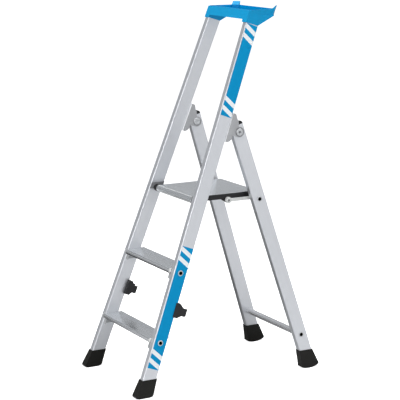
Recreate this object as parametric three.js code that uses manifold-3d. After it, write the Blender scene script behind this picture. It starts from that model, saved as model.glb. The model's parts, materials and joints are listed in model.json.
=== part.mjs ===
// Folding step ladder with a platform and a top tray.
//
// X runs across the ladder, +Y from the front (climbing side) to the back, +Z up. All sizes are
// in millimetres. Heights are above the floor. Depths (y) count from the front face of the
// front stiles at floor level, and the whole ladder is shifted at the end so that the origin
// lies on the floor in the middle of the footprint. Everything is mirror symmetric in X: the
// right-hand pieces are modelled and the left-hand ones mirrored from them.

import * as THREE from 'three';
import { mergeVertices } from 'three/addons/utils/BufferGeometryUtils.js';
import Module from 'manifold-3d';

const wasm = await Module();
wasm.setup();

// ---- driving dimensions ------------------------------------------------------------------

const GAP = 0.3; // between pieces that touch
const RUNNING = 0.35; // extra radius of a bore over its pin

// rectangular aluminium tube of the stiles and the rear legs
const TUBE = { depth: 50, width: 25, wall: 1.8, corner: 3.5 };

// lean: depth gained per height. taper: half-width lost per height.
const STILE = { halfWidth: 219.5, start: 0, lean: 0.372, taper: 0.059, from: 24, to: 1395 };
const LEG = { halfWidth: 204.75, start: 697.1, lean: -0.326, taper: 0.044, from: 18 };

const TREAD = {
  heights: { lower: 200, upper: 435 },
  front: -10.5, rear: 68, plate: 2.4, lip: 12, nose: 5, heel: 4,
  ribs: { shares: [0.25, 0.78], half: 1, depth: 9 },
  channelDrop: 15, channelRadius: 9.5, channelBore: 8,
};
const RIVET = { flange: 10, shank: 7.5, hole: 6.5, lift: 0.85, rim: 1.4, blind: 24 };

const HINGE_HEIGHT = 891.6;
const HINGE_PIN = 6;
const CROSS_HEIGHT = 647; // upper cross tube and rear pivot of the links
const BRACE_HEIGHT = 129.5;
const CROSS_TUBE = { radius: 10, wall: 2 };
const BRACE_TUBE = { radius: 11.5, wall: 3.5 };

const PLATFORM = {
  top: 670, halfWidth: 129.5, front: 259, rear: 534, plate: 3, wall: 2.5, nose: 12.5,
  cap: { thickness: 3.2, bottom: 651, top: 668.5 },
  ribs: { places: [310, 358, 406, 454], half: 1, depth: 14 },
};
const PLATFORM_PIVOT = {
  y: PLATFORM.front + PLATFORM.nose, z: PLATFORM.top - PLATFORM.nose, radius: 5, bush: 13,
};
const LINK_EYE = { y: 405, z: 647 };
const LINK = {
  inner: 135.5, outer: 144.5, eyeOuter: 145.8, barrelOuter: 150.2, radius: 11.5, arm: 5.5, pin: 4.5,
};

const FRONT_FOOT = { height: 62, toe: -7, heel: 61 };
const REAR_FOOT = { height: 69, toe: 683, heel: 755, soleRadius: 90, touch: 712 };
const FOOT_WALL = 1.5;

const TRAY = {
  halfWidth: 145, rearHalfWidth: 142, front: 473, rear: 602, base: 1280, floor: 1290, rim: 1312,
  wall: 3, corner: 12, chamfer: { x: 24, y: 20 },
};

// ---- materials ---------------------------------------------------------------------------

const paint = (color, roughness, metalness) =>
  new THREE.MeshStandardMaterial({ color, roughness, metalness });
const ALUMINIUM = paint(0xc9cbce, 0.38, 0.85);
const TREAD_ALUMINIUM = paint(0xb4b7b9, 0.42, 0.85);
const CAST_ALUMINIUM = paint(0xa4a7a9, 0.55, 0.8);
const RIVET_STEEL = paint(0xd2d4d6, 0.3, 0.9);
const LINK_GREY = paint(0xd4d5d3, 0.45, 0.3);
const BLACK_PLASTIC = paint(0x1c1b1d, 0.5, 0);
const BLACK_RUBBER = paint(0x211f1a, 0.75, 0);
const GREY_PLASTIC = paint(0x8b8e91, 0.5, 0);
const DARK_GREY_PLASTIC = paint(0x58595c, 0.5, 0);
const BLUE_PLASTIC = paint(0x0a93d8, 0.32, 0);
const LABEL_BLUE = paint(0x0a8fd0, 0.4, 0);

// ---- solids ------------------------------------------------------------------------------

function solid(geometry) {
  const bare = geometry.clone();
  for (const name of Object.keys(bare.attributes)) {
    if (name !== 'position') bare.deleteAttribute(name);
  }
  const merged = mergeVertices(bare, 1e-4);
  const vertProperties = Float32Array.from(merged.attributes.position.array);
  const triVerts = Uint32Array.from(merged.index.array);
  return new wasm.Manifold(new wasm.Mesh({ numProp: 3, vertProperties, triVerts }));
}

function surface(body) {
  const mesh = body.getMesh();
  const geometry = new THREE.BufferGeometry();
  geometry.setAttribute('position', new THREE.BufferAttribute(mesh.vertProperties, 3));
  geometry.setIndex(new THREE.BufferAttribute(mesh.triVerts, 1));
  geometry.computeVertexNormals();
  return geometry;
}

const join = (...bodies) => bodies.reduce((whole, body) => whole.add(body));
const cut = (body, ...tools) => tools.reduce((rest, tool) => rest.subtract(tool), body);

function block([x0, x1], [y0, y1], [z0, z1]) {
  const box = new THREE.BoxGeometry(x1 - x0, y1 - y0, z1 - z0);
  return solid(box.translate((x0 + x1) / 2, (y0 + y1) / 2, (z0 + z1) / 2));
}

// a side view, given as [y, z] points or a Shape, extruded across X
function sideGeometry(outline, x0, x1) {
  const shape = outline.isShape ? outline : new THREE.Shape(outline.map((p) => new THREE.Vector2(...p)));
  const geometry = new THREE.ExtrudeGeometry(shape, { depth: x1 - x0, bevelEnabled: false });
  const turn = new THREE.Matrix4().makeBasis(
    new THREE.Vector3(0, 1, 0), new THREE.Vector3(0, 0, 1), new THREE.Vector3(1, 0, 0),
  );
  return geometry.applyMatrix4(turn).translate(x0, 0, 0);
}

const sideExtrusion = (outline, x0, x1) => solid(sideGeometry(outline, x0, x1));

// a side view extruded across X between two leaning faces, given by their x at a height
function sideBetween(outline, innerAt, outerAt) {
  const geometry = sideGeometry(outline, 0, 1);
  const place = geometry.attributes.position;
  for (let i = 0; i < place.count; i += 1) {
    const z = place.getZ(i);
    place.setX(i, place.getX(i) > 0.5 ? outerAt(z) : innerAt(z));
  }
  return solid(geometry);
}

function arcPoints(y, z, radius, fromDegrees, toDegrees, steps) {
  return Array.from({ length: steps + 1 }, (_, i) => {
    const angle = THREE.MathUtils.degToRad(fromDegrees + ((toDegrees - fromDegrees) * i) / steps);
    return [y + radius * Math.cos(angle), z + radius * Math.sin(angle)];
  });
}

// a round bar along X
function rodGeometry(radius, x0, x1, { y, z }, segments = 20) {
  const bar = new THREE.CylinderGeometry(radius, radius, x1 - x0, segments);
  return bar.rotateZ(Math.PI / 2).translate((x0 + x1) / 2, y, z);
}

const rod = (...sizes) => solid(rodGeometry(...sizes));

// a turned piece on an axis along X, from [radius, x] points that run from its +X end to its -X end
function turned(profile, { y, z }, segments = 16) {
  const points = [...profile].reverse().map(([radius, x]) => new THREE.Vector2(radius, x));
  const lathe = new THREE.LatheGeometry(points, segments);
  return solid(lathe.rotateZ(-Math.PI / 2).translate(0, y, z));
}

// ---- frames of the stiles and legs -------------------------------------------------------

// In a limb's own frame x points out of the ladder from the limb's outer face, y back from its
// front face, and z up along it.
function limbFrame({ halfWidth, start, lean, taper }) {
  const up = new THREE.Vector3(-taper, lean, 1).normalize();
  const out = new THREE.Vector3(1, 0, taper).normalize();
  const back = new THREE.Vector3().crossVectors(up, out);
  return new THREE.Matrix4().makeBasis(out, back, up).setPosition(halfWidth, start, 0);
}

const LADDER_FRAME = new THREE.Matrix4();
const STILE_FRAME = limbFrame(STILE);
const LEG_FRAME = limbFrame(LEG);

// a solid that was drawn in a limb's frame, moved to the ladder's, and the other way round
function moved(body, matrix) {
  return solid(surface(body).applyMatrix4(matrix));
}

const inLadder = (frame, body) => moved(body, frame);

const toLocal = (frame, x, y, z) => new THREE.Vector3(x, y, z).applyMatrix4(frame.clone().invert());

// a bore along the ladder's X, in a limb's frame
const boreIn = (frame, radius, x0, x1, axis) =>
  solid(rodGeometry(radius, x0, x1, axis).applyMatrix4(frame.clone().invert()));

const outerFace = (limb, height) => limb.halfWidth - limb.taper * height;
const innerFace = (limb, height) => outerFace(limb, height) - TUBE.width;

// the middle of a limb's depth at a height
const midDepth = (limb, height) =>
  limb.start + limb.lean * height + (TUBE.depth / 2) * Math.hypot(1, limb.lean);

const axisAt = (limb, height) => ({ y: midDepth(limb, height), z: height });
const HINGE = axisAt(LEG, HINGE_HEIGHT);
const CROSS = axisAt(LEG, CROSS_HEIGHT);
const BRACE = axisAt(LEG, BRACE_HEIGHT);
const treadAxis = (height) => axisAt(STILE, height - TREAD.channelDrop);

const HINGE_ON_STILE = toLocal(STILE_FRAME, outerFace(STILE, HINGE.z), HINGE.y, HINGE.z);
const HINGE_ON_LEG = toLocal(LEG_FRAME, outerFace(LEG, HINGE.z), HINGE.y, HINGE.z);

// ---- scene graph -------------------------------------------------------------------------

const group = new THREE.Group();
group.position.y = -(FRONT_FOOT.toe + REAR_FOOT.heel) / 2;

const MIRROR = new THREE.Matrix4().makeScale(-1, 1, 1);

function placed(frame, side) {
  const holder = new THREE.Group();
  const matrix = side === 'right' ? frame : MIRROR.clone().multiply(frame).multiply(MIRROR);
  holder.applyMatrix4(matrix);
  group.add(holder);
  return holder;
}

function addMesh(parent, name, body, material) {
  const mesh = new THREE.Mesh(surface(body), material);
  mesh.name = name;
  parent.add(mesh);
}

function addPair(name, frame, body, material) {
  addMesh(placed(frame, 'right'), `${name}_right`, body, material);
  addMesh(placed(frame, 'left'), `${name}_left`, body.mirror([1, 0, 0]), material);
}

const addSingle = (name, body, material) => addMesh(group, name, body, material);

// ---- stiles and legs ---------------------------------------------------------------------

function roundedRectangle(x0, x1, y0, y1, r) {
  const path = new THREE.Shape();
  path.absarc(x1 - r, y1 - r, r, 0, Math.PI / 2);
  path.absarc(x0 + r, y1 - r, r, Math.PI / 2, Math.PI);
  path.absarc(x0 + r, y0 + r, r, Math.PI, 1.5 * Math.PI);
  path.absarc(x1 - r, y0 + r, r, 1.5 * Math.PI, 2 * Math.PI);
  return path;
}

function hollowTube(from, to) {
  const { depth, width, wall, corner } = TUBE;
  const section = roundedRectangle(-width, 0, 0, depth, corner);
  section.holes.push(roundedRectangle(wall - width, -wall, wall, depth - wall, corner - wall));
  const options = { depth: to - from, bevelEnabled: false, curveSegments: 3 };
  return solid(new THREE.ExtrudeGeometry(section, options).translate(0, 0, from));
}

// a hole through a limb's rear wall, along the limb's own y
function rearWallHole(x, z, radius) {
  const bar = new THREE.CylinderGeometry(radius, radius, 24, 12);
  return solid(bar.translate(x, TUBE.depth, z));
}

// the blind rivets that hold fittings on a stile's rear face
const FACE_RIVET = { shank: 2.6, head: 5, headHeight: 2.2, tail: 8 };
const RIVET_MIDDLE = -TUBE.width / 2;

function frontStile() {
  const treadBores = Object.values(TREAD.heights).map((height) =>
    boreIn(STILE_FRAME, TREAD.channelBore, 0, STILE.halfWidth + 20, treadAxis(height)));
  const pivotBore = boreIn(
    STILE_FRAME, PLATFORM_PIVOT.radius + RUNNING, 100, innerFace(STILE, PLATFORM_PIVOT.z) + 8,
    PLATFORM_PIVOT,
  );
  const rearHoles = [...bracketRivetPlaces(), CLIP.place].map((z) =>
    rearWallHole(RIVET_MIDDLE, z, FACE_RIVET.shank + GAP));
  const screwHole = rod(SCREW.shank + GAP, -TUBE.width - 8, -TUBE.width + 8, SCREW.place, 12);
  return cut(hollowTube(STILE.from, STILE.to), ...treadBores, pivotBore, ...rearHoles, screwHole);
}

const LEG_TOP = HINGE_ON_LEG.z + 24;

function rearLeg() {
  const bores = [
    boreIn(LEG_FRAME, HINGE_PIN + RUNNING, 100, 200, HINGE),
    boreIn(LEG_FRAME, RIVET.shank + RUNNING, 100, 220, CROSS),
    boreIn(LEG_FRAME, RIVET.shank + RUNNING, 100, 220, BRACE),
  ];
  return cut(hollowTube(LEG.from, LEG_TOP), ...bores);
}

const PLUG = { dome: 12, shoulder: 13, skirt: 12, play: 0.8 };

// domed plastic plug that closes the top of a rear leg
function legPlug() {
  const { depth, width, wall } = TUBE;
  const { dome, shoulder, skirt, play } = PLUG;
  const base = LEG_TOP + GAP;
  const outline = [
    [0, base], [depth, base],
    ...arcPoints(depth - shoulder, base, shoulder, 0, 90, 4).slice(1)
      .map(([y, z]) => [y, Math.min(z, base + dome)]),
    [16, base + dome], [9, base + 9.5], [3, base + 4.5],
  ];
  const inset = wall + play;
  return join(
    sideExtrusion(outline, -width, 0),
    block([inset - width, -inset], [inset, depth - inset], [base - skirt, base + 1]),
  );
}

// ---- feet --------------------------------------------------------------------------------

// A foot is a side view extruded across the limb; its cheeks flare out towards the floor.
function foot(limb, frame, outline, height, from) {
  const flare = 3;
  const spread = (z) => FOOT_WALL + flare * (1 - z / height);
  const shoe = sideBetween(
    outline, (z) => innerFace(limb, z) - spread(z), (z) => outerFace(limb, z) + spread(z),
  );
  const socket = block(
    [-TUBE.width - GAP, GAP], [-GAP, TUBE.depth + GAP], [from - GAP, from + 2 * height],
  );
  return cut(shoe, inLadder(frame, socket));
}

const faceDepth = (limb, height) => limb.start + limb.lean * height;
const rearDepth = (limb, height) => faceDepth(limb, height) + TUBE.depth * Math.hypot(1, limb.lean);

function frontFoot() {
  const { height, toe, heel } = FRONT_FOOT;
  const outline = [
    [faceDepth(STILE, height) - FOOT_WALL, height], [toe, 8], [toe + 2, 3], [toe + 12, 0],
    [heel - 14, 0], [heel - 4, 3], [heel, 9], [rearDepth(STILE, height) + FOOT_WALL, height],
  ];
  return foot(STILE, STILE_FRAME, outline, height, STILE.from);
}

function rearFoot() {
  const { height, toe, heel, soleRadius, touch } = REAR_FOOT;
  const outline = [
    [faceDepth(LEG, height) - FOOT_WALL, height], [toe, 14],
    ...arcPoints(touch, soleRadius, soleRadius, 252, 296, 9),
    [heel, 14], [rearDepth(LEG, height) + FOOT_WALL, height],
  ];
  return foot(LEG, LEG_FRAME, outline, height, LEG.from);
}

// ---- treads ------------------------------------------------------------------------------

// keeps what lies between the two stiles' inner faces
function betweenStiles(low, high, clearance) {
  const reach = (z) => innerFace(STILE, z) - clearance;
  const shape = new THREE.Shape([
    new THREE.Vector2(-reach(low), low), new THREE.Vector2(reach(low), low),
    new THREE.Vector2(reach(high), high), new THREE.Vector2(-reach(high), high),
  ]);
  const slab = new THREE.ExtrudeGeometry(shape, { depth: 400, bevelEnabled: false });
  return solid(slab.rotateX(Math.PI / 2).translate(0, 400, 0));
}

function tread(height) {
  const { front, rear, plate, lip, nose, heel, ribs: rib } = TREAD;
  const y0 = faceDepth(STILE, height) + front;
  const y1 = faceDepth(STILE, height) + rear;
  const reach = STILE.halfWidth;
  const across = [-reach, reach];
  const under = height - plate / 2;
  const shell = [
    ...arcPoints(y1 - heel, height - heel, heel, 0, 90, 3),
    ...arcPoints(y0 + nose, height - nose, nose, 90, 180, 4),
    [y0, height - lip], [y0 + plate, height - lip],
    ...arcPoints(y0 + nose, height - nose, nose - plate, 180, 90, 3),
    ...arcPoints(y1 - heel, height - heel, heel - plate, 90, 0, 2),
    [y1 - plate, height - lip], [y1, height - lip],
  ];
  const axis = treadAxis(height);
  const ribs = rib.shares.map((share) => {
    const y = y0 + share * (y1 - y0);
    return block(across, [y - rib.half, y + rib.half], [height - rib.depth, under]);
  });
  const web = block(across, [axis.y - rib.half, axis.y + rib.half], [axis.z + TREAD.channelRadius - 1, under]);
  const channel = rod(TREAD.channelRadius, -reach, reach, axis);
  const whole = join(sideExtrusion(shell, ...across), channel, web, ...ribs);
  const bored = cut(whole, rod(TREAD.channelBore, -reach - 1, reach + 1, axis));
  return bored.intersect(betweenStiles(height - 40, height + 5, GAP + 0.1));
}

// flanged hollow rivet in a limb's outer face; it reaches inwards to x = inner
function hollowRivet(limb, axis, inner) {
  const face = outerFace(limb, axis.z) + RIVET.lift;
  const { flange, shank, hole, rim, blind } = RIVET;
  return turned([
    [0, face - blind], [hole, face - blind], [hole, face + 0.4], [hole + 0.9, face + rim],
    [flange - 1, face + rim], [flange, face + 0.4], [flange, face], [shank, face],
    [shank, inner], [0, inner],
  ], axis, 24);
}

// moulded shoe under a tread's end, on the stile's inner face
function treadShoe(height) {
  const [skin, flange, inward] = [2.6, 3, 15];
  const [low, high] = [height - 37, height - TREAD.lip - 1];
  const face = (z) => innerFace(STILE, z) - GAP;
  const strip = (from, to) => [
    [faceDepth(STILE, low) + from, low], [faceDepth(STILE, low) + to, low],
    [faceDepth(STILE, high) + to, high], [faceDepth(STILE, high) + from, high],
  ];
  const [front, rear] = [4, rearDepth(STILE, 0) - 1];
  const plate = sideBetween(strip(front, rear), (z) => face(z) - skin, face);
  const frontFlange = sideBetween(strip(front, front + flange), (z) => face(z) - inward, face);
  const rearFlange = sideBetween(strip(rear - flange, rear), (z) => face(z) - inward, face);
  const channel = rod(TREAD.channelRadius + 0.5, 0, STILE.halfWidth, treadAxis(height), 24);
  return cut(join(plate, frontFlange, rearFlange), channel);
}

// ---- rear hinge --------------------------------------------------------------------------

const BRACKET = { inner: -31.4, outer: 2.9, slotInner: -27.9, slotOuter: 0.1, base: 6.2, boss: 18.5 };
const bracketRivetPlaces = () => [HINGE_ON_STILE.z - 37, HINGE_ON_STILE.z + 45];

// cast fork on the stile's rear face, with two fingers along the stile and two cheeks for the leg
function hingeBracket() {
  const { inner, outer, slotInner, slotOuter, base, boss } = BRACKET;
  const { y, z } = HINGE_ON_STILE;
  const face = TUBE.depth + GAP;
  const web = [
    [face, -47.5], [face + 7, -47.5], [face + 15, -43], [face + 21.5, -33], [face + 21.5, -20], [y, -18],
    [y, 0], [y - 8, 16.5], [face + 28.5, 35], [face + 21.5, 41], [face + 13, 54], [face + 10, 56], [face, 56],
  ].map(([py, pz]) => [py, z + pz]);
  const body = join(sideExtrusion(web, inner, outer), rod(boss, inner, outer, { y, z }, 28));
  const slot = block([slotInner, slotOuter], [face + base, y + boss + 5], [z - 80, z + 80]);
  const holes = bracketRivetPlaces().map((place) =>
    rearWallHole(RIVET_MIDDLE, place, FACE_RIVET.shank + GAP));
  const bore = boreIn(STILE_FRAME, HINGE_PIN + RUNNING, 100, 200, HINGE);
  return cut(body, slot, bore, ...holes);
}

// rivet through a plate that stands on the stile's rear face, along the stile's own y
function faceRivet(z, plate) {
  const { shank, head, headHeight, tail } = FACE_RIVET;
  const seat = TUBE.depth + 2 * GAP + plate;
  const profile = [
    [0, seat - plate - tail], [shank, seat - plate - tail], [shank, seat], [head, seat],
    [head, seat + 0.6], [head * 0.7, seat + headHeight * 0.85], [0, seat + headHeight],
  ].map(([radius, y]) => new THREE.Vector2(radius, y));
  return solid(new THREE.LatheGeometry(profile, 12).translate(RIVET_MIDDLE, 0, z));
}

function hingePin() {
  const face = outerFace(STILE, HINGE.z);
  const out = face + BRACKET.outer + 0.9;
  const back = face + BRACKET.inner - 0.9;
  return turned([
    [0, out + 1], [3, out + 1], [4.2, out + 2.4], [12.2, out + 2.4], [13.4, out + 1.4], [13.4, out],
    [HINGE_PIN, out], [HINGE_PIN, back], [9, back], [9, back - 1.6], [0, back - 1.6],
  ], HINGE, 20);
}

// ---- transport clip ----------------------------------------------------------------------

const CLIP = {
  place: 330, halfHeight: 26, base: 6.5, outerArm: [-7.2, 3.2], innerArm: [-40.2, -35.2],
  lap: 42, lapThickness: 2.3,
};

// snaps over the rear leg when the ladder is folded: two arms on a base that laps round the
// stile's rear edge
function transportClip() {
  const { place: z, halfHeight, base, outerArm, innerArm, lap, lapThickness } = CLIP;
  const face = TUBE.depth + GAP;
  const height = [z - halfHeight, z + halfHeight];
  const arm = (reach) => [
    [face, -26], [face + 8, -26.5], [reach - 16, -14.5], [reach - 8, -15.5], [reach, -13.5],
    [reach, 13.5], [reach - 8, 12.5], [reach - 16, 14], [face + 6, 27], [face, 27],
  ].map(([py, pz]) => [py, z + pz]);
  const back = block([innerArm[0], outerArm[1]], [face, face + base], height);
  const innerLap = block([innerArm[0], -TUBE.width - GAP], [lap, face + 1], height);
  const outerLap = block([outerArm[1] - lapThickness, outerArm[1]], [lap, face + 1], height);
  const outer = sideExtrusion(arm(90.5), ...outerArm);
  const inner = sideExtrusion(arm(83), ...innerArm);
  const hole = rearWallHole(RIVET_MIDDLE, z, FACE_RIVET.shank + GAP);
  return cut(join(back, innerLap, outerLap, outer, inner), hole);
}

// ---- platform ----------------------------------------------------------------------------

const BEARING = { inner: 150, low: 655, high: 677, margin: 1 };

// bearing block on the stile's inner face that carries the platform's front pivot
function platformBearing() {
  const { inner, low, high, margin } = BEARING;
  const outline = [
    [faceDepth(STILE, low) + margin, low], [rearDepth(STILE, low) - margin, low],
    [rearDepth(STILE, high) - margin, high], [faceDepth(STILE, high) + margin, high],
  ];
  const body = sideBetween(outline, () => inner, (z) => innerFace(STILE, z) - GAP);
  return cut(body, rod(PLATFORM_PIVOT.radius + RUNNING, 100, 200, PLATFORM_PIVOT));
}

// spacer between the platform's side cap and the bearing block
function platformBush() {
  const { radius, bush } = PLATFORM_PIVOT;
  const from = CAP_OUTER + GAP;
  return cut(
    rod(bush, from, BEARING.inner - GAP, PLATFORM_PIVOT, 24), rod(radius + RUNNING, 100, 200, PLATFORM_PIVOT),
  );
}

function platformPivotPin() {
  const out = innerFace(STILE, PLATFORM_PIVOT.z) + 4;
  return rod(PLATFORM_PIVOT.radius, PLATFORM.halfWidth - 10, out, PLATFORM_PIVOT, 16);
}

const CAP_OUTER = PLATFORM.halfWidth + GAP + PLATFORM.cap.thickness;

function platformDeck() {
  const { top, halfWidth, rear, plate, wall, nose, cap, ribs: rib } = PLATFORM;
  const { y, z } = PLATFORM_PIVOT;
  const edge = 5;
  const shell = [
    ...arcPoints(rear - edge, top - edge, edge, 0, 90, 3), ...arcPoints(y, z, nose, 90, 265, 9),
    ...arcPoints(y, z, nose - wall, 265, 90, 7).slice(0, -1),
    [y, top - plate], ...arcPoints(rear - edge, top - edge, edge - wall, 90, 0, 2),
    [rear - wall, cap.bottom], [rear, cap.bottom],
  ];
  const across = [-halfWidth, halfWidth];
  const under = top - plate / 2;
  const ribs = rib.places.map((at) =>
    block(across, [at - rib.half, at + rib.half], [top - rib.depth, under]));
  return join(sideExtrusion(shell, ...across), ...ribs);
}

// black cap on each end of the deck, with a boss for the front pivot and a lug for the link
function platformCap() {
  const { halfWidth, rear, top, cap } = PLATFORM;
  const { y, z, radius } = PLATFORM_PIVOT;
  const [x0, x1] = [halfWidth + GAP, CAP_OUTER];
  const band = [[y, cap.bottom], [rear, cap.bottom], [rear, cap.top - 4], [rear - 4, cap.top], [y, cap.top]];
  const lug = [[LINK_EYE.y - 30, cap.bottom + 2], ...arcPoints(LINK_EYE.y, LINK_EYE.z, 11, 215, 325, 6),
    [LINK_EYE.y + 30, cap.bottom + 2]];
  const body = join(
    sideExtrusion(band, x0, x1),
    sideExtrusion(lug, x0, x1),
    rod(12, x0, x1, PLATFORM_PIVOT, 28),
    rod(9, halfWidth - 12, x1, PLATFORM_PIVOT),
  );
  const saddle = rod(13, x0 - 1, x1 + 1, CROSS, 24);
  return cut(body, saddle, rod(radius + RUNNING, halfWidth - 13, x1 + 1, { y, z }));
}

// ---- links -------------------------------------------------------------------------------

// dog-bone link from the rear leg's upper pivot to the eye beside the platform
function link() {
  const { inner, outer, eyeOuter, barrelOuter, radius, arm } = LINK;
  const angle = Math.atan2(CROSS.z - LINK_EYE.z, CROSS.y - LINK_EYE.y);
  const [ny, nz] = [-Math.sin(angle) * arm, Math.cos(angle) * arm];
  const bar = [
    [LINK_EYE.y + ny, LINK_EYE.z + nz], [LINK_EYE.y - ny, LINK_EYE.z - nz],
    [CROSS.y - ny, CROSS.z - nz], [CROSS.y + ny, CROSS.z + nz],
  ];
  const body = join(
    sideExtrusion(bar, inner, outer), rod(radius, inner, eyeOuter, LINK_EYE),
    rod(radius, inner, barrelOuter, CROSS),
  );
  return cut(
    body, rod(RIVET.shank + RUNNING, inner - 1, barrelOuter + 1, CROSS),
    rod(LINK.pin + RUNNING, inner - 1, eyeOuter + 1, LINK_EYE),
  );
}

function linkPin() {
  return rod(LINK.pin, LINK.inner - 2, LINK.eyeOuter - 1.2, LINK_EYE, 16);
}

// ---- cross tube and brace ----------------------------------------------------------------

function roundTube({ radius, wall }, reach, axis) {
  return cut(rod(radius, -reach, reach, axis, 32), rod(radius - wall, -reach - 1, reach + 1, axis, 32));
}

// ---- top tray ----------------------------------------------------------------------------

const SCREW = { shank: 2.4, head: 4.2, place: { y: 25, z: 1380 } };
const GUSSET = { foot: [518.5, 1256.5], back: 585, backLow: 1289, top: 1293, pocket: [532, 574] };
const SOCKET = { front: 3, inner: 2.4, outer: 1.6, rear: 2.6, from: 1357, roof: 1400 };

// plan outline with rounded front corners and chamfered rear ones, drawn inset by a distance
function trayPlan(inset) {
  const { halfWidth, rearHalfWidth, front, rear, corner, chamfer } = TRAY;
  const lost = inset * (chamfer.x + chamfer.y - Math.hypot(chamfer.x, chamfer.y));
  const cutX = chamfer.x - lost / chamfer.y;
  const cutY = chamfer.y - lost / chamfer.x;
  const [wide, narrow] = [halfWidth - inset, rearHalfWidth - inset];
  const [near, far, r] = [front + inset, rear - inset, corner - inset];
  const plan = new THREE.Shape();
  plan.moveTo(narrow, far - cutY);
  plan.lineTo(narrow - cutX, far);
  plan.lineTo(cutX - narrow, far);
  plan.lineTo(-narrow, far - cutY);
  plan.absarc(r - wide, near + r, r, Math.PI, 1.5 * Math.PI);
  plan.absarc(wide - r, near + r, r, 1.5 * Math.PI, 2 * Math.PI);
  return plan;
}

// the plan extruded up; its front wall leans back with the stiles
function trayShape(inset, low, high) {
  const { front, rear, base } = TRAY;
  const options = { depth: high - low, bevelEnabled: false, curveSegments: 5 };
  const geometry = new THREE.ExtrudeGeometry(trayPlan(inset), options).translate(0, 0, low);
  const place = geometry.attributes.position;
  for (let i = 0; i < place.count; i += 1) {
    const fromRear = (rear - place.getY(i)) / (rear - front);
    place.setY(i, place.getY(i) + STILE.lean * (place.getZ(i) - base) * fromRear);
  }
  return solid(geometry);
}

const mirrorIf = (mirrored, body) => (mirrored ? body.mirror([1, 0, 0]) : body);
const inStile = (body, mirrored) => mirrorIf(mirrored, inLadder(STILE_FRAME, body));

// socket for the top of a stile, with a gusset behind it
function traySide(mirrored) {
  const { front, inner, outer, rear, from, roof } = SOCKET;
  const box = block([-TUBE.width - inner, outer], [-front, TUBE.depth + rear], [from + 14, roof]);
  const start = new THREE.Vector3(0, -front, from).applyMatrix4(STILE_FRAME);
  const skirt = [
    [start.y, start.z], GUSSET.foot, [GUSSET.back, GUSSET.backLow], [GUSSET.back, GUSSET.top],
    [faceDepth(STILE, GUSSET.top) - front * Math.hypot(1, STILE.lean), GUSSET.top],
  ];
  const gusset = sideBetween(skirt, (z) => innerFace(STILE, z) - inner, (z) => outerFace(STILE, z) + outer);
  return mirrorIf(mirrored, join(inLadder(STILE_FRAME, box), gusset));
}

function traySideCuts(mirrored) {
  const limb = block([-TUBE.width - GAP, GAP], [-GAP, TUBE.depth + GAP], [1200, STILE.to + GAP]);
  const screw = rod(SCREW.shank + GAP, -TUBE.width - 8, -TUBE.width + 8, SCREW.place, 12);
  const [inner, outer] = [innerFace(STILE, TRAY.base), outerFace(STILE, TRAY.base)];
  const pocket = block([inner + 0.5, outer - 0.5], GUSSET.pocket, [GUSSET.foot[1] - 20, TRAY.floor]);
  return [inStile(limb, mirrored), inStile(screw, mirrored), mirrorIf(mirrored, pocket)];
}

// upturned ear on a rear corner, flaring outwards
function trayEar(mirrored) {
  const { rearHalfWidth, rear, rim, chamfer } = TRAY;
  const length = Math.hypot(chamfer.x, chamfer.y) - 3;
  const outline = [
    [-4, -21], [0, -21], [2.8, -11], [6.4, 0], [10.2, 10.5], [8.8, 12.5], [3, 6.5], [-2.5, 2.6],
    [-8, 0.6], [-8, -2.5], [-4, -4],
  ];
  const geometry = sideGeometry(outline, -length / 2, length / 2);
  geometry.rotateZ(-Math.atan2(chamfer.y, chamfer.x));
  geometry.translate(rearHalfWidth - chamfer.x / 2, rear - chamfer.y / 2, rim);
  return mirrorIf(mirrored, solid(geometry));
}

function topTray() {
  const { base, floor, rim, wall, front, rear, halfWidth } = TRAY;
  const shell = cut(trayShape(0, base, rim), trayShape(wall, floor + wall, rim + 5));
  const under = block([-halfWidth - 1, halfWidth + 1], [front + 22, rear + 1], [base - 1, floor]);
  const hollow = block([32 - halfWidth, halfWidth - 32], [front + 3 + wall, front + 23], [base - 1, floor]);
  const raised = cut(shell, under, hollow);
  const whole = join(
    raised, traySide(false), traySide(true), trayEar(false), trayEar(true),
  );
  return cut(whole, ...traySideCuts(false), ...traySideCuts(true));
}

// screw through a socket's inner wall into the stile, along the stile's own x
function trayScrew() {
  const seat = -TUBE.width - SOCKET.inner - GAP;
  return turned([
    [0, seat + 9], [SCREW.shank, seat + 9], [SCREW.shank, seat], [SCREW.head, seat],
    [SCREW.head, seat - 1], [SCREW.head * 0.6, seat - 2.2], [0, seat - 2.2],
  ], SCREW.place, 12);
}

// ---- labels ------------------------------------------------------------------------------

const LABEL = { lower: [113.5, 551], upper: [1024, 1356.6], depths: [3, 47.5], thickness: 0.3 };

function label([from, to]) {
  const sheet = block([GAP, GAP + LABEL.thickness], LABEL.depths, [from, to]);
  const holes = Object.values(TREAD.heights).map((height) =>
    boreIn(STILE_FRAME, RIVET.flange + 0.6, 100, 250, treadAxis(height)));
  return cut(sheet, ...holes);
}

// ---- assembly: front frame ---------------------------------------------------------------

addPair('front_stile', STILE_FRAME, frontStile(), ALUMINIUM);
addPair('front_foot', LADDER_FRAME, frontFoot(), BLACK_RUBBER);
for (const [name, height] of Object.entries(TREAD.heights)) {
  const axis = treadAxis(height);
  addSingle(`tread_${name}`, tread(height), TREAD_ALUMINIUM);
  addPair(`tread_${name}_rivet`, LADDER_FRAME, hollowRivet(STILE, axis, innerFace(STILE, height) - 12),
    RIVET_STEEL);
  addPair(`tread_${name}_shoe`, LADDER_FRAME, treadShoe(height), GREY_PLASTIC);
}
addPair('label_lower', STILE_FRAME, label(LABEL.lower), LABEL_BLUE);
addPair('label_upper', STILE_FRAME, label(LABEL.upper), LABEL_BLUE);
addPair('hinge_bracket', STILE_FRAME, hingeBracket(), CAST_ALUMINIUM);
bracketRivetPlaces().forEach((z, i) => {
  addPair(`hinge_bracket_rivet_${i + 1}`, STILE_FRAME, faceRivet(z, BRACKET.base), RIVET_STEEL);
});
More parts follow.
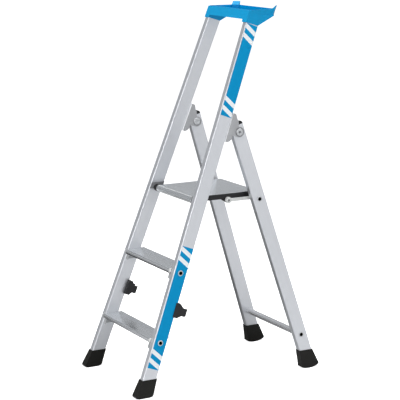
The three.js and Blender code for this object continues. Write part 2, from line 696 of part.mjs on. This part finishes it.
addPair('hinge_pin', LADDER_FRAME, hingePin(), CAST_ALUMINIUM);
addPair('transport_clip', STILE_FRAME, transportClip(), BLACK_PLASTIC);
addPair('transport_clip_rivet', STILE_FRAME, faceRivet(CLIP.place, CLIP.base), RIVET_STEEL);
addPair('platform_bearing', LADDER_FRAME, platformBearing(), DARK_GREY_PLASTIC);
addPair('platform_bush', LADDER_FRAME, platformBush(), BLACK_PLASTIC);
addPair('platform_pivot_pin', LADDER_FRAME, platformPivotPin(), RIVET_STEEL);
addSingle('top_tray', topTray(), BLUE_PLASTIC);
addPair('tray_screw', STILE_FRAME, trayScrew(), RIVET_STEEL);

// ---- assembly: rear frame ----------------------------------------------------------------

addPair('rear_leg', LEG_FRAME, rearLeg(), ALUMINIUM);
addPair('rear_leg_plug', LEG_FRAME, legPlug(), BLACK_PLASTIC);
addPair('rear_foot', LADDER_FRAME, rearFoot(), BLACK_RUBBER);
addSingle('upper_cross_tube', roundTube(CROSS_TUBE, LINK.inner - 0.7, CROSS), ALUMINIUM);
addSingle('lower_brace', roundTube(BRACE_TUBE, innerFace(LEG, BRACE.z) - 0.8, BRACE), ALUMINIUM);
addPair('cross_tube_rivet', LADDER_FRAME, hollowRivet(LEG, CROSS, LINK.inner - 14), RIVET_STEEL);
addPair('brace_rivet', LADDER_FRAME, hollowRivet(LEG, BRACE, innerFace(LEG, BRACE.z) - 16), RIVET_STEEL);

// ---- assembly: platform and links --------------------------------------------------------

addSingle('platform_deck', platformDeck(), TREAD_ALUMINIUM);
addPair('platform_cap', LADDER_FRAME, platformCap(), BLACK_PLASTIC);
addPair('link', LADDER_FRAME, link(), LINK_GREY);
addPair('link_pin', LADDER_FRAME, linkPin(), RIVET_STEEL);

export default group;
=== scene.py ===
"""Looks of the folding step ladder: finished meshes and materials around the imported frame.

Every piece is built in metres in the frame's own axes: X across the ladder, Y from the climbing
side to the rear legs, Z up from the floor. Most pieces are a CAD node's own shape with its edges
rounded and its surface smoothed. Round parts are turned again with finer segments.
"""

import json
import math

import bmesh
import bpy
import numpy as np
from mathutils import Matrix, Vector


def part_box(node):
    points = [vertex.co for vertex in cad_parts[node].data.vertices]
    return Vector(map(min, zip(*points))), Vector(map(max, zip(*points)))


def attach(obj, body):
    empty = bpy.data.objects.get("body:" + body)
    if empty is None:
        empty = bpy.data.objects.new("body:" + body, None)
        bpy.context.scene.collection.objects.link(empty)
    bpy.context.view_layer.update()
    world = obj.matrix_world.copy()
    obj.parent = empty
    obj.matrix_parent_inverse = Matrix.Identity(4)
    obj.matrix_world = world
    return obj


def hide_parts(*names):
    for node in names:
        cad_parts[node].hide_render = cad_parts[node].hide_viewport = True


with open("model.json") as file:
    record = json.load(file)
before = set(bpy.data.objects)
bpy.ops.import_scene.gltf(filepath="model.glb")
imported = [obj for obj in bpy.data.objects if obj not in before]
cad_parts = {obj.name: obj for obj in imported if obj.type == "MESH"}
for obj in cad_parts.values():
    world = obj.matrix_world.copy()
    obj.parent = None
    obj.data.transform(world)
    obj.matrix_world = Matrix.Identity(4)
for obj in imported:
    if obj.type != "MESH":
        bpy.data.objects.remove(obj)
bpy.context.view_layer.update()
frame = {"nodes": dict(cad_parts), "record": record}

MM = 0.001
NODES = frame["nodes"]
SLOT_OF = {row["node"]: row["material_slot"] for row in frame["record"]["subparts"]}
BODY_OF = {
    node: body
    for body, members in frame["record"]["behaviour"]["bodies"].items()
    for node in members
}
SIDES = {"right": 1, "left": -1}

# ---- camera --------------------------------------------------------------------------------

CAMERA_PLACE = Vector((4.584, -2.569, 1.675))
CAMERA_AZIMUTH = math.radians(60.78)
CAMERA_ELEVATION = math.radians(11.29)
CAMERA_LENS = 133.7
CAMERA_SENSOR = 36


def add_camera():
    data = bpy.data.cameras.new("camera")
    data.lens = CAMERA_LENS
    data.sensor_width = CAMERA_SENSOR
    camera = bpy.data.objects.new("camera", data)
    bpy.context.scene.collection.objects.link(camera)
    level = math.cos(CAMERA_ELEVATION)
    back = Vector((
        math.sin(CAMERA_AZIMUTH) * level,
        -math.cos(CAMERA_AZIMUTH) * level,
        math.sin(CAMERA_ELEVATION),
    ))
    camera.rotation_euler = back.to_track_quat("Z", "Y").to_euler()
    camera.location = CAMERA_PLACE
    bpy.context.scene.camera = camera


# ---- light and floor -----------------------------------------------------------------------

SOFTBOXES = {
    "side_softbox": {"place": (4.4, 2.6, 1.6), "target": (0, 0, 0.7), "size": 3.5, "power": 21},
    "front_softbox": {"place": (1.3, -4.1, 2.1), "target": (0, 0, 0.8), "size": 1.6, "power": 76},
    "top_softbox": {"place": (0.3, 0.2, 3.8), "target": (0, 0, 0), "size": 3.5, "power": 108},
}
WHITE = (1, 1, 1, 1)
WALL_TINT = (0.95, 0.97, 1.0, 1)
# the walls' light goes from dim to bright as a direction turns towards the bright side
BRIGHT_SIDE = Vector((0.75, 0.65, 0.12)).normalized()
WALL_FADE = (-0.9, 0.3)
WALL_LIGHT = (0.34, 0.5)
FLOOR_HALF = 40
FLOOR_SEEN = 0.97
FLOOR_GLOW = 0.7
# half sizes in metres. The fade is in shares of them, the shade goes from dark to pale
DARK_PATCH = {"middle": (-1.25, -0.37, 0), "length": 1.27, "width": 0.57, "turn": math.radians(30)}
PATCH_FADE = (0.8, 1.5)
PATCH_SHADE = (0.08, 0.77)


def add_softbox(name, place, target, size, power):
    data = bpy.data.lights.new(name, "AREA")
    data.shape = "RECTANGLE"
    data.size, data.size_y = size, size
    data.energy = power
    light = bpy.data.objects.new(name, data)
    bpy.context.scene.collection.objects.link(light)
    light.location = place
    light.rotation_euler = (Vector(place) - Vector(target)).to_track_quat("Z", "Y").to_euler()


def set_ranges(node, source, result):
    """Maps a range of values on to another one."""
    node.inputs["From Min"].default_value, node.inputs["From Max"].default_value = source
    node.inputs["To Min"].default_value, node.inputs["To Max"].default_value = result


def add_studio_walls():
    """White to the camera. As light, brighter towards the ladder's right and rear."""
    world = bpy.data.worlds.new("studio")
    bpy.context.scene.world = world
    world.use_nodes = True
    nodes, links = world.node_tree.nodes, world.node_tree.links
    direction = nodes.new("ShaderNodeTexCoord")
    bright_side = nodes.new("ShaderNodeVectorMath")
    bright_side.operation = "DOT_PRODUCT"
    bright_side.inputs[1].default_value = BRIGHT_SIDE
    strength = nodes.new("ShaderNodeMapRange")
    set_ranges(strength, WALL_FADE, WALL_LIGHT)
    fill = nodes["Background"]
    fill.inputs["Color"].default_value = WALL_TINT
    seen = nodes.new("ShaderNodeBackground")
    seen.inputs["Color"].default_value = WHITE
    path = nodes.new("ShaderNodeLightPath")
    mix = nodes.new("ShaderNodeMixShader")
    links.new(direction.outputs["Generated"], bright_side.inputs[0])
    links.new(bright_side.outputs["Value"], strength.inputs["Value"])
    links.new(strength.outputs["Result"], fill.inputs["Strength"])
    links.new(path.outputs["Is Camera Ray"], mix.inputs["Fac"])
    links.new(fill.outputs["Background"], mix.inputs[1])
    links.new(seen.outputs["Background"], mix.inputs[2])
    links.new(mix.outputs["Shader"], nodes["World Output"].inputs["Surface"])


def add_floor():
    """White to the camera. As light, pale with a dark patch on the ladder's left."""
    mesh = bpy.data.meshes.new("floor")
    far = FLOOR_HALF
    corners = [(-far, -far, 0), (far, -far, 0), (far, far, 0), (-far, far, 0)]
    mesh.from_pydata(corners, [], [(0, 1, 2, 3)])
    floor = bpy.data.objects.new("floor", mesh)
    bpy.context.scene.collection.objects.link(floor)
    s = Shading("floor", WHITE, roughness=0.95, specular=0.05)
    seen = s.add("ShaderNodeLightPath").outputs["Is Camera Ray"]
    lengthways = Vector((math.cos(DARK_PATCH["turn"]), math.sin(DARK_PATCH["turn"]), 0))
    sideways = Vector((-lengthways.y, lengthways.x, 0))
    squares = []
    for axis, size in ((lengthways, "length"), (sideways, "width")):
        distance = s.math("DIVIDE", s.along(axis, DARK_PATCH["middle"]), DARK_PATCH[size])
        squares.append(s.math("POWER", s.math("ABSOLUTE", distance), 2))
    pale = s.add("ShaderNodeMapRange")
    s.link(s.math("SQRT", s.math("ADD", *squares)), pale.inputs["Value"])
    set_ranges(pale, PATCH_FADE, PATCH_SHADE)
    to_camera = s.math("MULTIPLY", seen, FLOOR_SEEN)
    s.link(s.math("MAXIMUM", to_camera, pale.outputs["Result"]), s.shader.inputs["Base Color"])
    s.shader.inputs["Emission Color"].default_value = WHITE
    s.link(s.math("MULTIPLY", seen, FLOOR_GLOW), s.shader.inputs["Emission Strength"])
    floor.data.materials.append(s.material)


# ---- materials -----------------------------------------------------------------------------


def linear(red, green, blue):
    """An sRGB colour of 0 to 255 as the linear colour that shaders take."""
    def channel(value):
        value /= 255
        return value / 12.92 if value <= 0.04045 else ((value + 0.055) / 1.055) ** 2.4
    return (channel(red), channel(green), channel(blue), 1)


class Shading:
    """A material under construction, with short names for the nodes that these materials share."""

    def __init__(self, name, color, roughness, metallic=0.0, specular=0.5):
        self.material = bpy.data.materials.new(name)
        self.material.use_nodes = True
        self.tree = self.material.node_tree
        self.shader = self.tree.nodes["Principled BSDF"]
        self.shader.inputs["Base Color"].default_value = color
        self.shader.inputs["Roughness"].default_value = roughness
        self.shader.inputs["Metallic"].default_value = metallic
        self.shader.inputs["Specular IOR Level"].default_value = specular
        self.place = self.add("ShaderNodeTexCoord").outputs["Object"]

    def add(self, kind, **settings):
        node = self.tree.nodes.new(kind)
        for key, value in settings.items():
            setattr(node, key, value)
        return node

    def link(self, output, socket):
        self.tree.links.new(output, socket)

    def along(self, axis, offset=(0, 0, 0)):
        """How far a point lies along an axis from an offset, in metres."""
        move = self.add("ShaderNodeVectorMath", operation="SUBTRACT")
        self.link(self.place, move.inputs[0])
        move.inputs[1].default_value = offset
        dot = self.add("ShaderNodeVectorMath", operation="DOT_PRODUCT")
        self.link(move.outputs["Vector"], dot.inputs[0])
        dot.inputs[1].default_value = axis
        return dot.outputs["Value"]

    def math(self, operation, first, second=None, third=None):
        node = self.add("ShaderNodeMath", operation=operation)
        for socket, value in zip(node.inputs, (first, second, third)):
            if value is None:
                continue
            if isinstance(value, (int, float)):
                socket.default_value = value
            else:
                self.link(value, socket)
        return node.outputs["Value"]

    def noise(self, scale, detail=2.0, vector=None):
        node = self.add("ShaderNodeTexNoise")
        node.inputs["Scale"].default_value = scale
        node.inputs["Detail"].default_value = detail
        self.link(vector or self.place, node.inputs["Vector"])
        return node.outputs["Fac"]

    def streaks(self, axis, scale, stretch):
        """Noise drawn out along an axis, as an extrusion die leaves it."""
        axis = Vector(axis).normalized()
        side = axis.orthogonal().normalized()
        other = axis.cross(side)
        parts = self.add("ShaderNodeCombineXYZ")
        for socket, direction in zip(parts.inputs, (side, other, axis / stretch)):
            self.link(self.along(direction), socket)
        return self.noise(scale, detail=3.0, vector=parts.outputs["Vector"])

    def spread(self, factor, low, high):
        """A factor of 0 to 1 as a value between two others."""
        node = self.add("ShaderNodeMapRange")
        self.link(factor, node.inputs["Value"])
        node.inputs["To Min"].default_value = low
        node.inputs["To Max"].default_value = high
        return node.outputs["Result"]

    def tint(self, factor, first, second):
        """A base colour that goes from one to another."""
        node = self.add("ShaderNodeMix", data_type="RGBA")
        self.link(factor, node.inputs["Factor"])
        node.inputs["A"].default_value = first
        node.inputs["B"].default_value = second
        self.link(node.outputs["Result"], self.shader.inputs["Base Color"])

    def roughen(self, factor, low, high):
        self.link(self.spread(factor, low, high), self.shader.inputs["Roughness"])

    def bump(self, height, distance):
        node = self.add("ShaderNodeBump")
        node.inputs["Distance"].default_value = distance
        node.inputs["Strength"].default_value = 1.0
        self.link(height, node.inputs["Height"])
        self.link(node.outputs["Normal"], self.shader.inputs["Normal"])


def shade_of(color, factor):
    """A colour made lighter or darker."""
    return tuple(min(1, channel * factor) for channel in color[:3]) + (1,)


def extruded_aluminium(name, axis, color, roughness, grain=0.00003):
    """Satin aluminium with fine lines along the profile."""
    s = Shading(name, color, roughness, metallic=0.85)
    fine = s.streaks(axis, scale=900, stretch=60)
    broad = s.streaks(axis, scale=90, stretch=25)
    both = s.math("ADD", s.math("MULTIPLY", fine, 0.5), s.math("MULTIPLY", broad, 0.5))
    s.tint(both, shade_of(color, 0.93), shade_of(color, 1.05))
    s.roughen(broad, roughness - 0.05, roughness + 0.07)
    s.bump(fine, distance=grain)
    return s.material


def cast_metal(name, color):
    s = Shading(name, color, roughness=0.5, metallic=0.75)
    grain = s.noise(scale=1400, detail=3)
    s.tint(s.noise(scale=60), shade_of(color, 0.92), shade_of(color, 1.06))
    s.roughen(grain, low=0.44, high=0.6)
    s.bump(grain, distance=0.00006)
    return s.material


def plated_steel(name, color):
    s = Shading(name, color, roughness=0.3, metallic=1.0)
    s.tint(s.noise(scale=300), shade_of(color, 0.9), color)
    s.roughen(s.noise(scale=900), low=0.24, high=0.36)
    return s.material


def painted_metal(name, color):
    s = Shading(name, color, roughness=0.4, metallic=0.2)
    s.roughen(s.noise(scale=200), low=0.36, high=0.46)
    s.bump(s.noise(scale=1800), distance=0.00003)
    return s.material


def moulded_plastic(name, color, roughness, grain, specular=0.5):
    s = Shading(name, color, roughness, specular=specular)
    s.tint(s.noise(scale=25), shade_of(color, 0.94), shade_of(color, 1.05))
    s.roughen(s.noise(scale=120), roughness - 0.04, roughness + 0.06)
    s.bump(s.noise(scale=1500), distance=grain)
    return s.material


# ---- finished meshes -----------------------------------------------------------------------

# angles in degrees
SAME_FACE = 1
SHARP_EDGE = 30
SMOOTH_SHAPE = 40
SMOOTH_TURNED = 38
SAME_POINT = 1e-6
ROUND_SEGMENTS = 48
# mm, and a rib's foot and crest as half widths
WASHER_RADIUS = 16
RIB = {"sink": 0.1, "foot": 1.0, "crest": 0.6}


def node_points(node):
    mesh = NODES[node].data
    points = np.empty(len(mesh.vertices) * 3)
    mesh.vertices.foreach_get("co", points)
    return points.reshape(-1, 3)


def main_axes(node):
    """The middle of a node, and its longest and second direction, up and back."""
    points = node_points(node)
    low, high = points.min(0), points.max(0)
    middle = (low + high) / 2
    directions = np.linalg.svd(points - points.mean(0), full_matrices=False)[2]
    longest, second = Vector(directions[0]), Vector(directions[1])
    longest = longest if longest.z > 0 else -longest
    second = second if second.y > 0 else -second
    return Vector(middle), longest, second


def new_piece(name, mesh, body, material, replaces=None):
    piece = bpy.data.objects.new(name, mesh)
    bpy.context.scene.collection.objects.link(piece)
    mesh.materials.clear()
    mesh.materials.append(material)
    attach(piece, body)
    if replaces:
        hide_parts(replaces)
    return piece


def mesh_from(bm, name):
    """Turns an edited mesh into a stored one, and frees it."""
    mesh = bpy.data.meshes.new(name)
    bm.to_mesh(mesh)
    bm.free()
    return mesh


def sharp_edges(bm):
    limit = math.radians(SHARP_EDGE)
    return [e for e in bm.edges if len(e.link_faces) == 2 and e.calc_face_angle(0) > limit]


def rounded(node, material, width=0.0, segments=2, keep=None):
    """A node's own shape, with sharp edges rounded to a width in mm.
    keep says which of them, by their middle.
    """
    bm = bmesh.new()
    bm.from_mesh(NODES[node].data)
    bmesh.ops.remove_doubles(bm, verts=bm.verts, dist=SAME_POINT)
    bmesh.ops.dissolve_limit(
        bm, angle_limit=math.radians(SAME_FACE), verts=bm.verts, edges=bm.edges, delimit={"NORMAL"},
    )
    if width:
        edges = sharp_edges(bm)
        if keep:
            edges = [e for e in edges if keep((e.verts[0].co + e.verts[1].co) / 2)]
        bmesh.ops.bevel(
            bm, geom=edges, offset=width * MM, segments=segments, profile=0.5,
            affect="EDGES", clamp_overlap=True,
        )
    mesh = mesh_from(bm, node)
    mesh.shade_smooth()
    mesh.set_sharp_from_angle(angle=math.radians(SMOOTH_SHAPE))
    piece = new_piece(f"{node}_finished", mesh, BODY_OF[node], material, node)
    if width:
        weighted = piece.modifiers.new("flat_faces", "WEIGHTED_NORMAL")
        weighted.keep_sharp = True
    return piece


def repaint(piece, material, chosen):
    """A second material for the faces whose normal is chosen."""
    piece.data.materials.append(material)
    for polygon in piece.data.polygons:
        if chosen(polygon.normal):
            polygon.material_index = 1


def seat(node):
    """Where a round part along X sits: its side, its outer end, and its middle from the side."""
    low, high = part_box(node)
    side = 1 if low.x > 0 else -1
    outer = high.x if side > 0 else low.x
    return side, outer, (low.y + high.y) / 2, (low.z + high.z) / 2


def turned(node, material, profile, painted_shade, painted_shade_rings):
    """A round part along X in a node's place, with a dark material on its first rings as painted
    shade down its bore or in its recess.
    The profile is (radius, depth) points, in mm from the node's outer end.
    """
    side, outer, y, z = seat(node)
    bm = bmesh.new()
    rings = []
    for radius, depth in profile:
        x = outer - side * depth * MM
        if radius == 0:
            rings.append([bm.verts.new((x, y, z))])
            continue
        rings.append([
            bm.verts.new((x, y + radius * MM * math.cos(turn), z + radius * MM * math.sin(turn)))
            for turn in (math.tau * i / ROUND_SEGMENTS for i in range(ROUND_SEGMENTS))
        ])
    for number, (a, b) in enumerate(zip(rings, rings[1:])):
        for i in range(ROUND_SEGMENTS):
            j = (i + 1) % ROUND_SEGMENTS
            corners = [a[i % len(a)], a[j % len(a)], b[j % len(b)], b[i % len(b)]]
            face = bm.faces.new(list(dict.fromkeys(corners)))
            face.material_index = 1 if number < painted_shade_rings else 0
    bmesh.ops.recalc_face_normals(bm, faces=bm.faces)
    mesh = mesh_from(bm, node)
    mesh.shade_smooth()
    mesh.set_sharp_from_angle(angle=math.radians(SMOOTH_TURNED))
    indices = [p.material_index for p in mesh.polygons]
    new_piece(f"{node}_finished", mesh, BODY_OF[node], material, node)
    mesh.materials.append(painted_shade)
    mesh.polygons.foreach_set("material_index", indices)


def extruded(name, outlines, x_low, x_high, body, material, slot):
    """Side views, as lists of (y, z) points, drawn out along X into one piece."""
    bm = bmesh.new()
    for outline in outlines:
        ends = [[bm.verts.new((x, y, z)) for y, z in outline] for x in (x_low, x_high)]
        for end in ends:
            bm.faces.new(end)
        for i in range(len(outline)):
            j = (i + 1) % len(outline)
            bm.faces.new([ends[0][i], ends[0][j], ends[1][j], ends[1][i]])
    bmesh.ops.recalc_face_normals(bm, faces=bm.faces)
    new_piece(name, mesh_from(bm, name), body, material)


def add_shaded_washer(pin, place, first, last):
    """A washer on a pin, from one depth to another in mm below the pin's outer end. Its dark grey
    also paints the shade round the pin's head.
    """
    side, outer, y, z = seat(pin)
    radius = WASHER_RADIUS * MM
    turns = [math.tau * i / ROUND_SEGMENTS for i in range(ROUND_SEGMENTS)]
    outline = [(y + radius * math.cos(a), z + radius * math.sin(a)) for a in turns]
    x_low, x_high = sorted((outer - side * first * MM, outer - side * last * MM))
    name = f"{pin}_{place}_washer"
    extruded(name, [outline], x_low, x_high, BODY_OF[pin], materials["dark_grey"], SLOT_OF[pin])


def rib(y, z, height, turn=90.0):
    """The side view of a rib, its height in mm, on a surface that faces turn degrees from +Y."""
    out = Vector((math.cos(math.radians(turn)), math.sin(math.radians(turn))))
    along = Vector((out.y, -out.x))
    foot = Vector((y, z)) - out * RIB["sink"] * MM
    crest = Vector((y, z)) + out * height * MM
    foot_half = along * RIB["foot"] * MM
    crest_half = along * RIB["crest"] * MM
    return [foot - foot_half, crest - crest_half, crest + crest_half, foot + foot_half]


# ---- stage and materials -------------------------------------------------------------------

add_camera()
add_studio_walls()
add_floor()
bpy.context.scene.view_settings.view_transform = "Standard"
for name, softbox in SOFTBOXES.items():
    add_softbox(name, **softbox)

ACROSS = (1, 0, 0)
ALUMINIUM = linear(222, 224, 228)
BLUE = linear(0, 147, 200)
LABEL_BLUE = linear(0, 145, 200)
LABEL_WHITE = linear(240, 244, 246)

# after the colour: roughness, and the depth of the grain in metres
materials = {
    "tread": extruded_aluminium("tread_aluminium", ACROSS, linear(224, 227, 230), 0.21, 0.00001),
    "tube": extruded_aluminium("tube_aluminium", ACROSS, linear(238, 239, 241), 0.24),
    "cast": cast_metal("cast_aluminium", linear(184, 185, 187)),
    "pin": cast_metal("pin_head", linear(206, 208, 210)),
    "steel": plated_steel("rivet_steel", linear(214, 216, 218)),
    "dark_steel": plated_steel("pin_steel", linear(140, 140, 142)),
    "link": painted_metal("link_grey", linear(222, 223, 221)),
    # pale paint for a painted highlight on the hinge brackets, where they meet the stiles
    "painted_highlight": painted_metal("painted_highlight_edge", linear(246, 247, 248)),
    "black": moulded_plastic("black_plastic", linear(26, 26, 28), 0.42, 0.00004, specular=0.4),
    "rubber": moulded_plastic("foot_rubber", linear(13, 12, 7), 0.36, 0.00003, specular=0.28),
    "grey": moulded_plastic("grey_plastic", linear(172, 174, 176), 0.45, 0.00004),
    "pale": moulded_plastic("pale_plastic", linear(228, 228, 226), 0.4, 0.00003),
    "dark_grey": moulded_plastic("dark_grey_plastic", linear(124, 125, 128), 0.5, 0.00004),
    "blue": moulded_plastic("blue_plastic", BLUE, 0.2, 0.00001, specular=0.16),
    "hole": moulded_plastic("hole_shadow", linear(12, 12, 12), 0.8, 0.00002, specular=0.1),
}

# how steep the bands are, and in mm their places from the label's end and half their width
LABEL_SLANT = 0.445
LABEL_BANDS = (19.1, 51.6)
LABEL_BAND_HALF = 7.9


def label_film(node):
    """Blue film with two diagonal white bands near each end."""
    middle, along, across = main_axes(node)
    points = node_points(node) - np.array(middle)
    half_length = float(np.abs(points @ np.array(along)).max())
    s = Shading(node, BLUE, roughness=0.5, specular=0.1)
    distance = s.math("ABSOLUTE", s.along(along + across * LABEL_SLANT, middle))
    from_end = s.math("SUBTRACT", half_length, distance)
    bands = [s.math("COMPARE", from_end, place * MM, LABEL_BAND_HALF * MM) for place in LABEL_BANDS]
    s.tint(s.math("MAXIMUM", *bands), LABEL_BLUE, LABEL_WHITE)
    s.bump(s.noise(scale=700), distance=0.00001)
    return s.material


# ---- the nodes' own shapes, finished -------------------------------------------------------

LIMB_ROUGHNESS = {"front_stile": 0.42, "rear_leg": 0.34}
for side in SIDES:
    for limb, roughness in LIMB_ROUGHNESS.items():
        node = f"{limb}_{side}"
        material = extruded_aluminium(node, main_axes(node)[1], ALUMINIUM, roughness)
        rounded(node, material, width=0.3, segments=1)
    for label in ("label_lower", "label_upper"):
        node = f"{label}_{side}"
        rounded(node, label_film(node))

# (radius, depth) in mm: from the bottom of the bore, over the rolled flange, to the shank's end
HOLLOW_RIVET = [
    (0, 20), (6.5, 20), (6.5, 1.2), (6.8, 0.4), (7.4, 0.05), (8.4, 0.0), (9.4, 0.35), (9.9, 0.9),
    (10, 1.4), (7.5, 1.4), (7.5, 30), (0, 30),
]
# (radius, depth) in mm: from the outer head's recess to the inner head's recess
HINGE_PIN = [
    (0, 3.2), (4.4, 3.2), (4.8, 0.6), (5.6, 0.0), (11.0, 0.0), (12.0, 0.25), (12.8, 0.9),
    (13.4, 1.8), (13.4, 2.4), (6, 2.4), (6, 37.5), (13.4, 37.5), (13.4, 38.4), (12.6, 39.5),
    (11.2, 40.1), (5.6, 40.1), (4.8, 39.5), (4.2, 38.2), (0, 38.2),
]
# the first rings of each profile, down a rivet's bore and in a pin's recess, are painted dark as
# shade
for side in SIDES:
    for rivet in ("tread_lower_rivet", "tread_upper_rivet", "cross_tube_rivet", "brace_rivet"):
        rivet_node = f"{rivet}_{side}"
        turned(rivet_node, materials["steel"], HOLLOW_RIVET, materials["hole"], painted_shade_rings=2)
    pin = f"hinge_pin_{side}"
    turned(pin, materials["pin"], HINGE_PIN, materials["dark_grey"], painted_shade_rings=1)

# material, width of the rounded edges in mm, segments
PAIR_FINISH = {
    "transport_clip": ("black", 1.0, 2),
    "platform_bearing": ("dark_grey", 1.0, 2),
    "platform_bush": ("black", 0.6, 2),
    "platform_cap": ("black", 0.4, 2),
    "link": ("link", 1.0, 3),
    "rear_leg_plug": ("black", 0.8, 2),
    "tread_lower_shoe": ("grey", 0.5, 2),
    "tread_upper_shoe": ("grey", 0.5, 2),
    "front_foot": ("rubber", 1.2, 3),
    "rear_foot": ("rubber", 1.2, 3),
    "hinge_bracket_rivet_1": ("steel", 0, 0),
    "hinge_bracket_rivet_2": ("steel", 0, 0),
    "transport_clip_rivet": ("steel", 0, 0),
    "platform_pivot_pin": ("steel", 0, 0),
    "tray_screw": ("steel", 0, 0),
    "link_pin": ("dark_steel", 0.5, 2),
}
SINGLE_FINISH = {
    "top_tray": ("blue", 1.0, 3),
    "platform_deck": ("tread", 0.4, 2),
    "tread_lower": ("tread", 0.4, 2),
    "tread_upper": ("tread", 0.4, 2),
    "upper_cross_tube": ("tube", 0.3, 1),
    "lower_brace": ("tube", 0.3, 1),
}
# mm behind the stile from where a bracket's edges are rounded
BRACKET_CLEAR = 1.5
# a face looks at the stile when its normal's share of the direction back is below this; such faces
# are painted pale as a highlight
FACES_STILE = -0.95


def finish_bracket(side):
    """Rounded, but sharp where it meets the stile, with a painted highlight on the faces that look
    at the stile.
    """
    stile = f"front_stile_{side}"
    middle, _, back = main_axes(stile)
    stile_rear = max((Vector(point) - middle).dot(back) for point in node_points(stile))

    def clear_of_stile(point):
        return (point - middle).dot(back) > stile_rear + BRACKET_CLEAR * MM

    bracket = rounded(f"hinge_bracket_{side}", materials["cast"], 0.8, 2, clear_of_stile)
    # the faces that look at the stile take the pale material: a painted highlight along the joint
    repaint(bracket, materials["painted_highlight"], lambda normal: normal.dot(back) < FACES_STILE)


for part, (material, width, segments) in PAIR_FINISH.items():
    for side in SIDES:
        rounded(f"{part}_{side}", materials[material], width, segments)
for side in SIDES:
    finish_bracket(side)
    # real washers, dark grey so that their rims paint the shade round the pin heads
    add_shaded_washer(f"hinge_pin_{side}", "outer", first=1.9, last=2.4)
    add_shaded_washer(f"hinge_pin_{side}", "inner", first=37.5, last=38.0)
for part, (material, width, segments) in SINGLE_FINISH.items():
    rounded(part, materials[material], width, segments)

# ---- ribs, small fittings, painted shade and highlights of the treads and the platform -----

# mm and degrees. Front, rear and side are the ribs' distances from the edges, low is how far the
# end plugs reach below the top, and inner and outer are their faces' distances from the tread's end
TREAD_RIBS = {"front": 6.5, "rear": 6, "side": 1, "pitch": 5.5, "height": 0.18}
TREAD_LIP = {"radius": 5, "height": 12}
# a black strip under each tread's front lip, as painted shade beneath the lip
LIP_SHADOW_STRIP = {"front": 0.3, "rear": 2.2, "lap": 0.2}
END_PLUG = {"low": 13.5, "inner": 0.1, "outer": 2.2, "stile_gap": 0.5}
PLATFORM_RIBS = {"front": 2, "rear": 8, "side": 1, "pitch": 8.5, "height": 0.1}
# the lines are two thin pale ribs round the nose: painted highlights
NOSE = {"radius": 12.5, "ribs": (132, 157, 182), "lines": (108, 207), "height": 0.6}
TOP_FACE_DEPTH = 0.5
# the stiles' front faces from the side, in metres: y = slope * z + foot
STILE_FRONT = {"slope": 0.372, "foot": -0.374}


def reach_at_top(node):
    """Half the width of a node at its top face."""
    points = node_points(node)
    at_top = points[:, 2] > points[:, 2].max() - TOP_FACE_DEPTH * MM
    return float(points[at_top][:, 0].max())


def rows(first, last, pitch):
    """Places from first to last, about a pitch apart."""
    count = int((last - first) / pitch)
    return [first + (last - first) * i / count for i in range(count + 1)]


def short_of_stile(z):
    """How far back the climbing side is clear at a height, up to the stiles' front faces."""
    return STILE_FRONT["slope"] * z + STILE_FRONT["foot"] - END_PLUG["stile_gap"] * MM


def dress_tread(tread, strip_height):
    """Ribs on top, a black strip under the lip as painted shade, its height in mm, and plugs on the
    ends.
    """
    low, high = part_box(tread)
    reach = reach_at_top(tread)
    front, rear, top = low.y, high.y, high.z
    first, last = front + TREAD_RIBS["front"] * MM, rear - TREAD_RIBS["rear"] * MM
    ribs = [rib(y, top, TREAD_RIBS["height"]) for y in rows(first, last, TREAD_RIBS["pitch"] * MM)]
    ribs_reach = reach - TREAD_RIBS["side"] * MM
    rib_finish = (materials["tread"], "tread_aluminium")
    extruded(f"{tread}_ribs", ribs, -ribs_reach, ribs_reach, "front_frame", *rib_finish)

    lip = top - TREAD_LIP["height"] * MM
    strip_front, strip_rear = front + LIP_SHADOW_STRIP["front"] * MM, front + LIP_SHADOW_STRIP["rear"] * MM
    strip_top, strip_low = lip + LIP_SHADOW_STRIP["lap"] * MM, lip - strip_height * MM
    # the black strip under the lip is painted shade, not a part of the tread
    strip = [
        (strip_front, strip_top), (strip_rear, strip_top),
        (strip_rear, strip_low), (strip_front, strip_low),
    ]
    strip_finish = (materials["black"], "black_plastic")
    extruded(f"{tread}_lip_shadow_strip", [strip], -reach, reach, "front_frame", *strip_finish)

    radius = TREAD_LIP["radius"]
    plug_low = top - END_PLUG["low"] * MM
    turns = [math.radians(turn) for turn in range(90, 181, 15)]
    plug = [
        (front + (radius + radius * math.cos(a)) * MM, top + (radius * math.sin(a) - radius) * MM)
        for a in turns
    ]
    plug += [(front, plug_low), (short_of_stile(plug_low), plug_low), (short_of_stile(top), top)]
    plug_finish = (materials["pale"], "grey_plastic")
    for side, sign in SIDES.items():
        ends = [sign * (reach + END_PLUG[end] * MM) for end in ("inner", "outer")]
        extruded(f"{tread}_end_{side}", [plug], min(ends), max(ends), "front_frame", *plug_finish)


def dress_platform():
    """Ribs on top and round the nose, and two pale ribs on the nose as painted highlights."""
    low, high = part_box("platform_deck")
    front, rear, top = low.y, high.y, high.z
    reach = high.x - PLATFORM_RIBS["side"] * MM
    radius = NOSE["radius"] * MM
    first, last = front + radius + PLATFORM_RIBS["front"] * MM, rear - PLATFORM_RIBS["rear"] * MM
    places = rows(first, last, PLATFORM_RIBS["pitch"] * MM)
    ribs = [rib(y, top, PLATFORM_RIBS["height"]) for y in places]

    def on_nose(turn):
        a = math.radians(turn)
        y, z = front + radius * (1 + math.cos(a)), top - radius * (1 - math.sin(a))
        return rib(y, z, NOSE["height"], turn)

    ribs += [on_nose(turn) for turn in NOSE["ribs"]]
    lines = [on_nose(turn) for turn in NOSE["lines"]]
    slot = "tread_aluminium"
    extruded("platform_ribs", ribs, -reach, reach, "platform", materials["tread"], slot)
    # pale ribs as painted highlights along the nose
    extruded("platform_nose_highlights", lines, -reach, reach, "platform", materials["link"], slot)


dress_tread("tread_lower", strip_height=1.5)
dress_tread("tread_upper", strip_height=4.0)
dress_platform()
